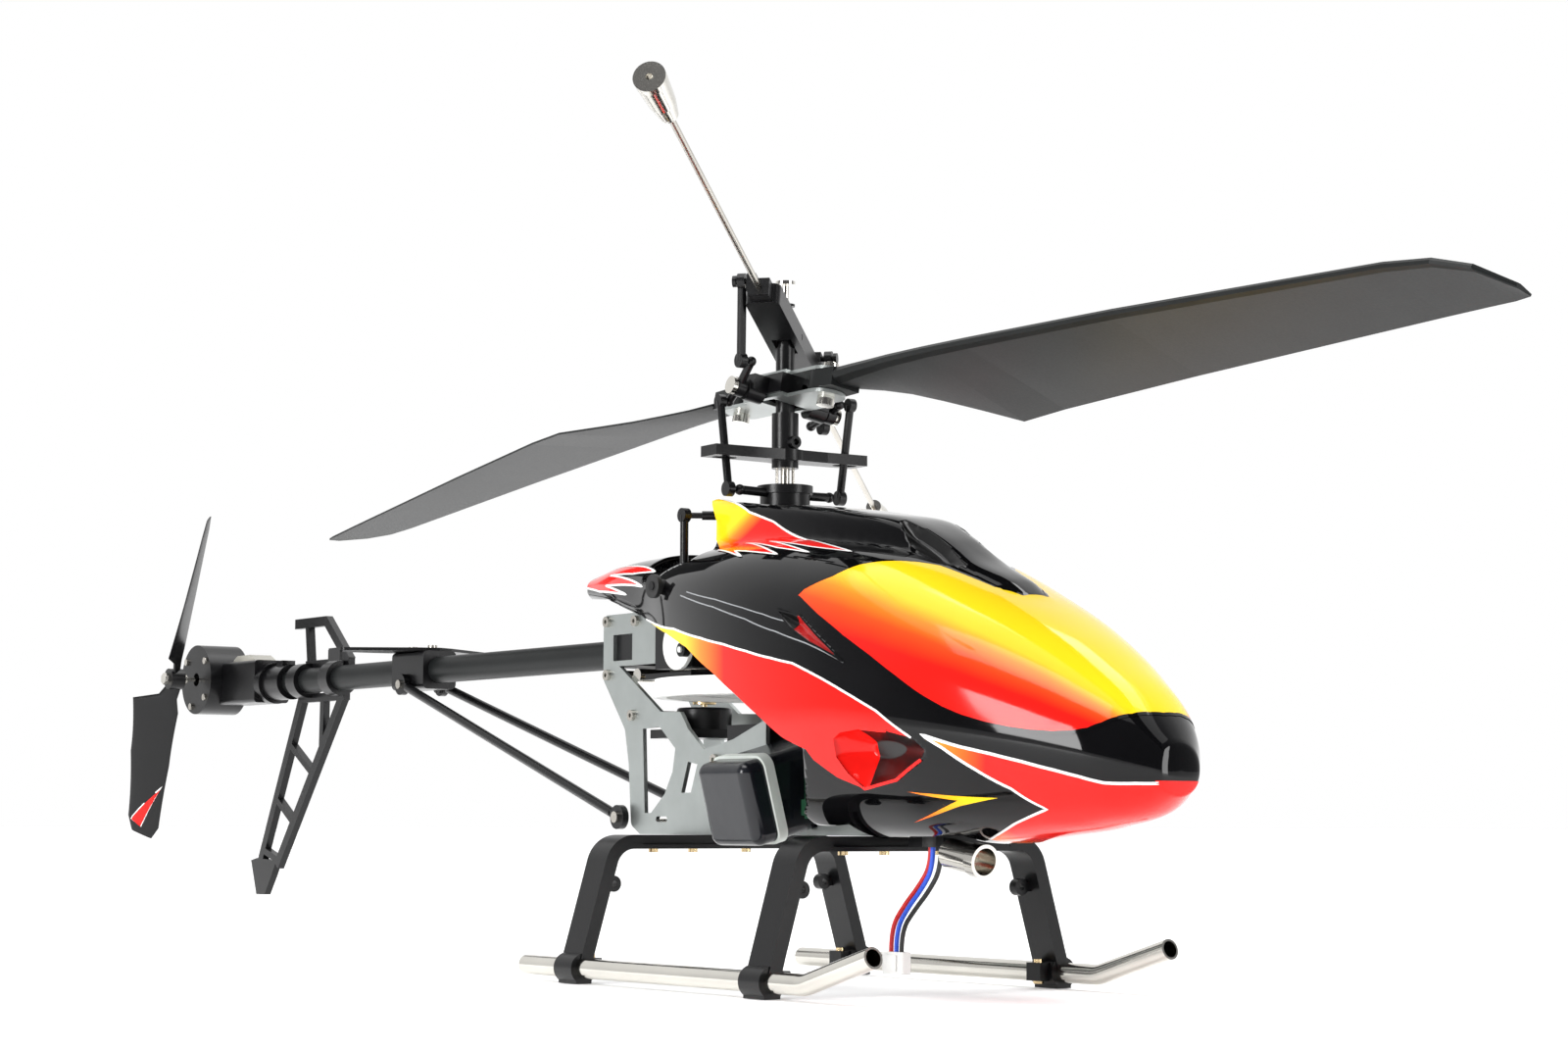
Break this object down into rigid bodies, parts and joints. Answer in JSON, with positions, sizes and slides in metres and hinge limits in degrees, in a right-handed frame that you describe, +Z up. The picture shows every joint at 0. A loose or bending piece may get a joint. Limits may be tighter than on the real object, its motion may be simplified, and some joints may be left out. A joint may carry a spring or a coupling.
{
  "type": "remote control helicopter",
  "caption": "Single-rotor toy helicopter with flybar, red and black canopy, alloy side plates, long tail boom, lattice fin and skid landing gear",
  "frame": {"origin": "on the floor straight under the main mast, at the height of the soles of the skid clamps", "axes": "+X to the nose along the tail boom, +Y to port, +Z up along the mast"},
  "size_m": [0.7918, 0.263, 0.2682],
  "materials": {
    "canopy_red_black": "glossy with printed flames",
    "black_plastic": "satin",
    "alloy": "satin anodised",
    "polished": "polished",
    "steel": "polished steel",
    "white_plastic": "smooth",
    "shrink": "shiny shrink wrap",
    "strap": "matt",
    "blade_black": "matt",
    "brass": "bright",
    "rubber": "matt",
    "red_wire": "smooth",
    "blue_wire": "smooth",
    "black_wire": "smooth",
    "board": "board green",
    "lens": "translucent"
  },
  "bodies": {
    "fuselage": {"frame_plates": "alloy", "frame_spacers": "polished", "frame_screws": "steel", "frame_blocks": "black_plastic", "mast_bearings": "steel", "main_motor": "steel", "servos": "black_plastic", "receiver_board": "board", "belly_tray": "black_plastic", "landing_bow_rear": "black_plastic", "landing_bow_front": "black_plastic", "skid_tubes": "polished", "landing_gear_screws": "brass", "battery_pack": "shrink", "battery_strap": "strap", "canopy": "canopy_red_black", "rubber_grommets": "rubber", "belly_pipe": "polished", "wire_red": "red_wire", "wire_blue": "blue_wire", "wire_black": "black_wire", "wire_connector": "white_plastic", "tail_boom": "blade_black", "boom_supports": "black_plastic", "stabiliser_clamp": "black_plastic", "horizontal_stabiliser": "black_plastic", "vertical_fin": "black_plastic", "tail_housing": "black_plastic", "tail_motor": "steel", "tail_lens": "lens", "tail_fasteners": "steel"},
    "rotor": {"mast": "steel", "main_gear": "white_plastic", "hub_sleeve": "black_plastic", "guide_plate": "black_plastic", "top_pin": "polished", "lower_links": "black_plastic"},
    "pinion": {"motor_pinion": "brass"},
    "blade_grip": {"grip_block": "black_plastic", "grip_plates": "alloy", "grip_bolts": "polished"},
    "blade_front": {"rotor_blade_front": "blade_black"},
    "blade_rear": {"rotor_blade_rear": "blade_black"},
    "lever_starboard": {"mixing_lever_starboard": "black_plastic"},
    "lever_port": {"mixing_lever_port": "black_plastic"},
    "flybar": {"flybar_carrier": "black_plastic", "flybar_rods": "steel", "flybar_weights": "polished"},
    "flybar_link_starboard": {"upper_link_starboard": "black_plastic"},
    "flybar_link_port": {"upper_link_port": "black_plastic"},
    "swash_centre": {"swash_ball": "steel"},
    "swash_plate_lower": {"swash_lower": "black_plastic"},
    "swash_plate_upper": {"swash_upper": "black_plastic"},
    "horn_starboard": {"servo_horn_starboard": "white_plastic"},
    "horn_port": {"servo_horn_port": "white_plastic"},
    "link_starboard": {"servo_link_starboard": "black_plastic"},
    "link_port": {"servo_link_port": "black_plastic"},
    "tail_propeller": {"tail_rotor": "black_plastic", "tail_shaft": "polished"}
  },
  "joints": [
    {"name": "rotor_spin", "type": "hinge", "parent": "fuselage", "child": "rotor", "pos_m": [0, 0, 0.12], "axis": [0, 0, 1], "continuous": true},
    {"name": "pinion_spin", "type": "hinge", "parent": "fuselage", "child": "pinion", "pos_m": [-0.04775, 0, 0.097], "axis": [0, 0, 1], "continuous": true},
    {"name": "flybar_teeter", "type": "hinge", "parent": "rotor", "child": "flybar", "pos_m": [0, 0, 0.2155], "axis": [0.7513, 0.66, 0], "range_deg": [-2, 30]},
    {"name": "grip_feather", "type": "hinge", "parent": "rotor", "child": "blade_grip", "pos_m": [0, 0, 0.1968], "axis": [0.9991, -0.0419, 0], "range_deg": [-1.4, 20]},
    {"name": "mixing_lever_starboard_turn", "type": "hinge", "parent": "blade_grip", "child": "lever_starboard", "pos_m": [-0.00075, -0.01784, 0.19703], "axis": [0.0412, 0.9827, -0.1805], "range_deg": [-3.8, 55.6]},
    {"name": "mixing_lever_port_turn", "type": "hinge", "parent": "blade_grip", "child": "lever_port", "pos_m": [0.0007, 0.01675, 0.19067], "axis": [0.0412, 0.9827, -0.1805], "range_deg": [-3.8, 55.6]},
    {"name": "upper_link_starboard_swing", "type": "hinge", "parent": "flybar", "child": "flybar_link_starboard", "pos_m": [0.01301, -0.02683, 0.23002], "axis": [0.7513, 0.66, 0], "range_deg": [-30, 2]},
    {"name": "upper_link_port_swing", "type": "hinge", "parent": "flybar", "child": "flybar_link_port", "pos_m": [-0.01522, 0.02935, 0.21292], "axis": [0.7513, 0.66, 0], "range_deg": [-30, 2]},
    {"name": "blade_fold_front", "type": "hinge", "parent": "blade_grip", "child": "blade_front", "pos_m": [0.02598, -0.00109, 0.1968], "axis": [0.0076, 0.1804, 0.9836], "range_deg": [-20, 20]},
    {"name": "blade_fold_rear", "type": "hinge", "parent": "blade_grip", "child": "blade_rear", "pos_m": [-0.02598, 0.00109, 0.1968], "axis": [0.0076, 0.1804, 0.9836], "range_deg": [-20, 20]},
    {"name": "swash_tilt_a", "type": "hinge", "parent": "fuselage", "child": "swash_centre", "pos_m": [0, 0, 0.156], "axis": [-0.5329, 0.8462, 0], "range_deg": [-5.5, 5.5]},
    {"name": "swash_tilt_b", "type": "hinge", "parent": "swash_centre", "child": "swash_plate_lower", "pos_m": [0, 0, 0.156], "axis": [-0.5329, -0.8462, 0], "range_deg": [-5.5, 5.5]},
    {"name": "swash_spin", "type": "hinge", "parent": "swash_plate_lower", "child": "swash_plate_upper", "pos_m": [0, 0, 0.158], "axis": [0, 0, 1], "continuous": true},
    {"name": "servo_horn_starboard_turn", "type": "hinge", "parent": "fuselage", "child": "horn_starboard", "pos_m": [-0.0245, -0.026, 0.112], "axis": [0, 1, 0], "range_deg": [-22, 22]},
    {"name": "servo_horn_port_turn", "type": "hinge", "parent": "fuselage", "child": "horn_port", "pos_m": [-0.0245, 0.026, 0.112], "axis": [0, 1, 0], "range_deg": [-22, 22]},
    {"name": "servo_link_starboard_swing", "type": "hinge", "parent": "horn_starboard", "child": "link_starboard", "pos_m": [-0.0174, -0.0289, 0.11], "axis": [0, 1, 0], "range_deg": [-22, 22]},
    {"name": "servo_link_port_swing", "type": "hinge", "parent": "horn_port", "child": "link_port", "pos_m": [-0.0174, 0.0289, 0.11], "axis": [0, 1, 0], "range_deg": [-22, 22]},
    {"name": "tail_rotor_spin", "type": "hinge", "parent": "fuselage", "child": "tail_propeller", "pos_m": [-0.433, -0.025, 0.116], "axis": [0, 1, 0], "continuous": true}
  ],
  "couplings": [
    {"joint": "pinion_spin", "follows": "rotor_spin", "ratio": -10.235},
    {"joint": "swash_spin", "follows": "rotor_spin", "ratio": 1},
    {"joint": "grip_feather", "follows": "flybar_teeter", "ratio": 0.66},
    {"joint": "mixing_lever_starboard_turn", "follows": "flybar_teeter", "ratio": 1.85},
    {"joint": "mixing_lever_port_turn", "follows": "flybar_teeter", "ratio": 1.85},
    {"joint": "upper_link_starboard_swing", "follows": "flybar_teeter", "ratio": -1},
    {"joint": "upper_link_port_swing", "follows": "flybar_teeter", "ratio": -1},
    {"joint": "servo_horn_starboard_turn", "follows": "swash_tilt_a", "ratio": -3.861},
    {"joint": "servo_link_starboard_swing", "follows": "swash_tilt_a", "ratio": 3.861},
    {"joint": "servo_horn_port_turn", "follows": "swash_tilt_b", "ratio": 3.861},
    {"joint": "servo_link_port_swing", "follows": "swash_tilt_b", "ratio": -3.861}
  ]
}
